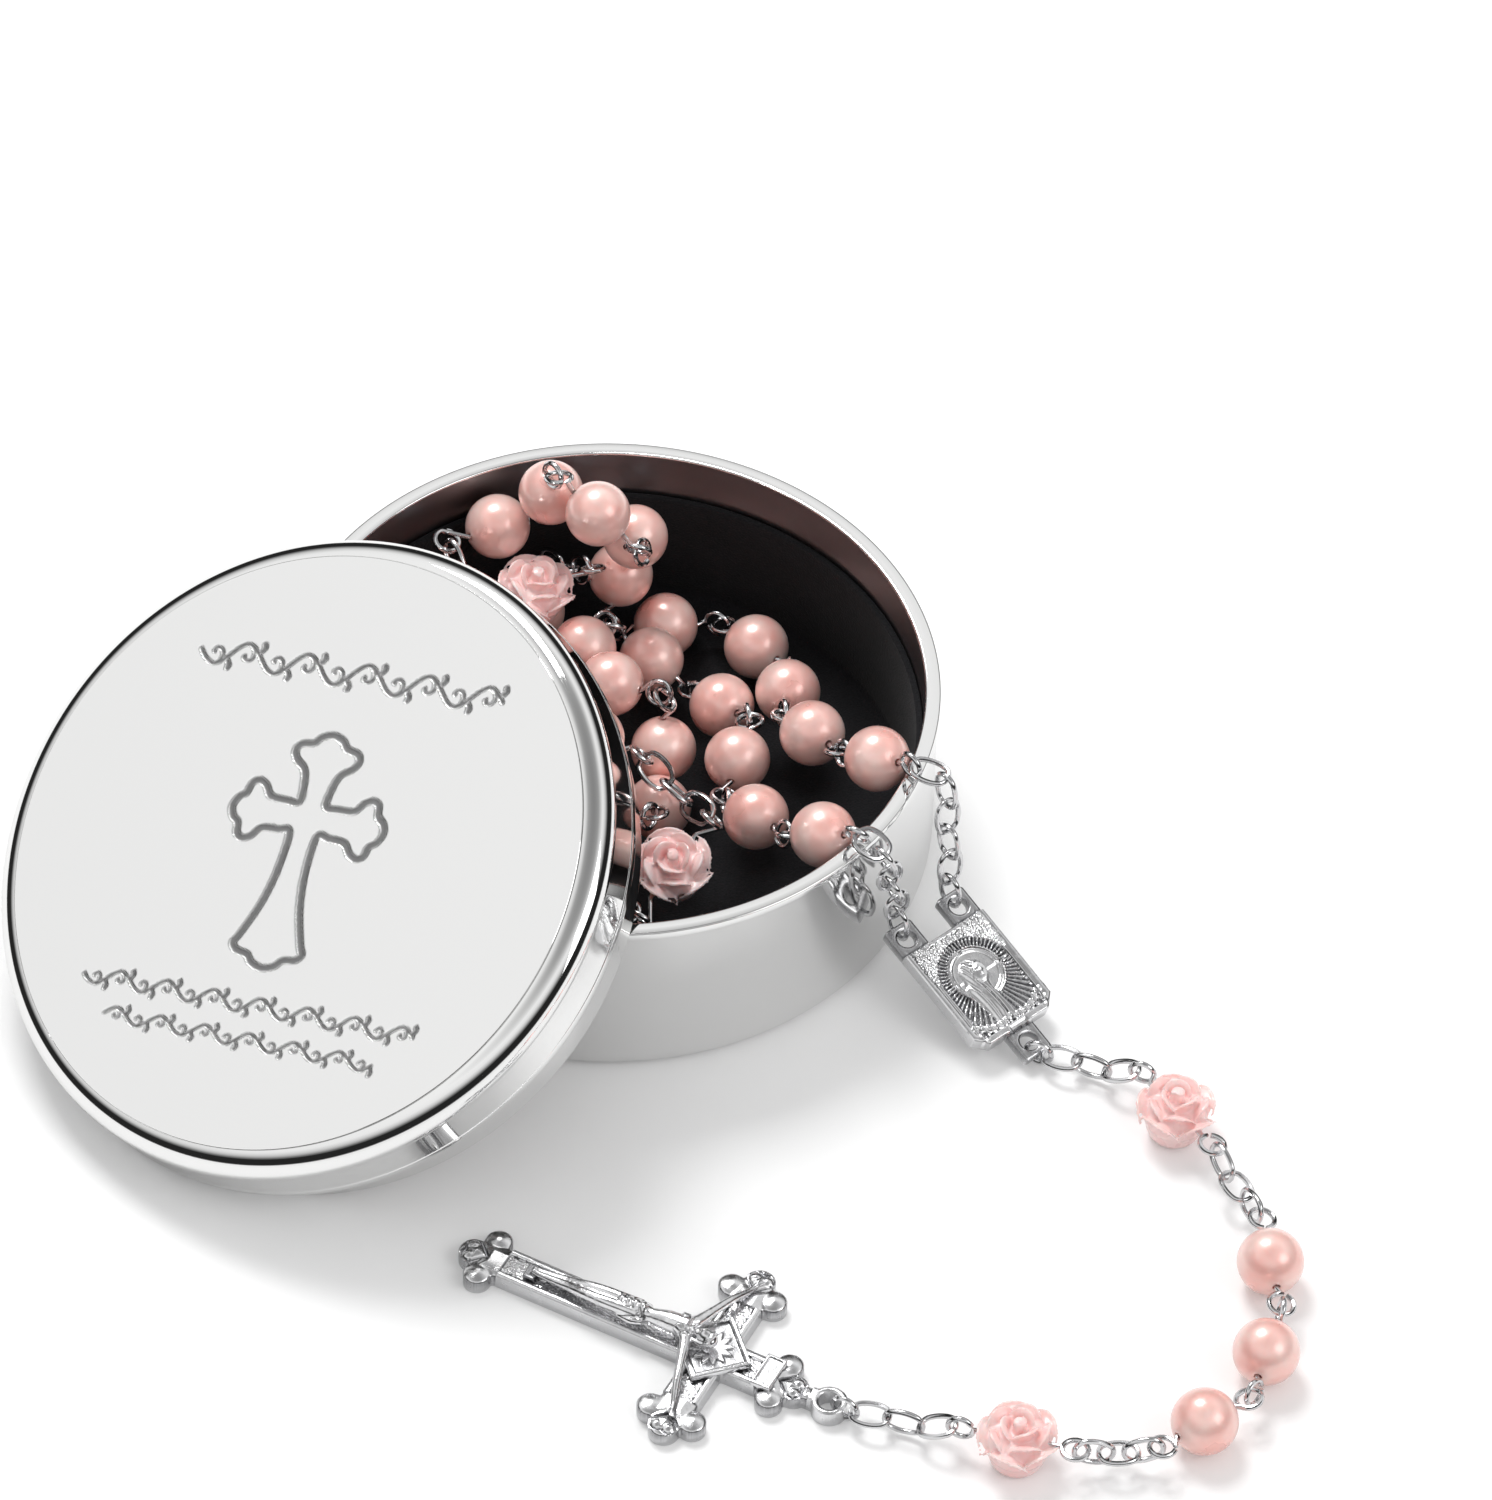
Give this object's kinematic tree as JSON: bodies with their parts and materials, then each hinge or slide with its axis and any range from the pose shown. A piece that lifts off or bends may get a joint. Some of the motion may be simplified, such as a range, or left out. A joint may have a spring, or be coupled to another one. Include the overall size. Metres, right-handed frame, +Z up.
{
  "type": "round keepsake box",
  "caption": "Round polished keepsake box, open, with a lift-off lid leaning on it and a pearl rosary lying in the lined box and trailing over the rim.",
  "frame": {"origin": "middle of the box's flat base, on the table", "axes": "+Z up along the box's axis; the string trails over the rim towards -Y; the lid leans towards -X and -Y"},
  "size_m": [0.1173, 0.1062, 0.0396],
  "materials": {
    "polished_shell": "mirror polished",
    "lining": "flocked",
    "pearl": "pearlescent",
    "rose_resin": "satin",
    "wire": "polished",
    "cast_metal": "cast, tumbled"
  },
  "bodies": {
    "box": {"body_lining": "lining", "body_shell": "polished_shell", "chain_1a": "wire", "chain_1b": "wire", "chain_2a": "wire", "chain_2b": "wire", "chain_3a": "wire", "chain_3b": "wire", "chain_4a": "wire", "chain_4b": "wire", "crucifix_ring": "wire", "eyepin_pendant_rose_1": "wire", "eyepin_pendant_rose_2": "wire", "eyepin_rose_1": "wire", "eyepin_rose_2": "wire", "eyepin_rose_3": "wire", "eyepin_rose_4": "wire", "eyepins_decade_1": "wire", "eyepins_decade_2": "wire", "eyepins_decade_3": "wire", "eyepins_decade_4": "wire", "eyepins_decade_5": "wire", "eyepins_pendant": "wire", "medal": "cast_metal", "medal_ring": "wire", "pearls_decade_1": "pearl", "pearls_decade_2": "pearl", "pearls_decade_3": "pearl", "pearls_decade_4": "pearl", "pearls_decade_5": "pearl", "pearls_pendant": "pearl", "pendant_chain_1": "wire", "pendant_chain_2": "wire", "pendant_chain_3": "wire", "pendant_chain_4": "wire", "pendant_rose_1": "rose_resin", "pendant_rose_2": "rose_resin", "rim_chain_left": "wire", "rim_chain_right": "wire", "rose_1": "rose_resin", "rose_2": "rose_resin", "rose_3": "rose_resin", "rose_4": "rose_resin"},
    "lid": {"lid_shell": "polished_shell", "lid_collar": "polished_shell"},
    "crucifix": {"crucifix_corpus": "cast_metal", "crucifix_cross": "cast_metal", "crucifix_plaque": "cast_metal", "crucifix_title": "cast_metal"}
  },
  "joints": [
    {"name": "lid_lift", "type": "slide", "parent": "box", "child": "lid", "axis": [0, 0, 1], "range_m": [0, 0.03]},
    {"name": "crucifix_swing", "type": "hinge", "parent": "box", "child": "crucifix", "pos_m": [0.02276, -0.06848, 0.00135], "axis": [0.4446, 0.8957, 0], "range_deg": [0, 75]}
  ]
}
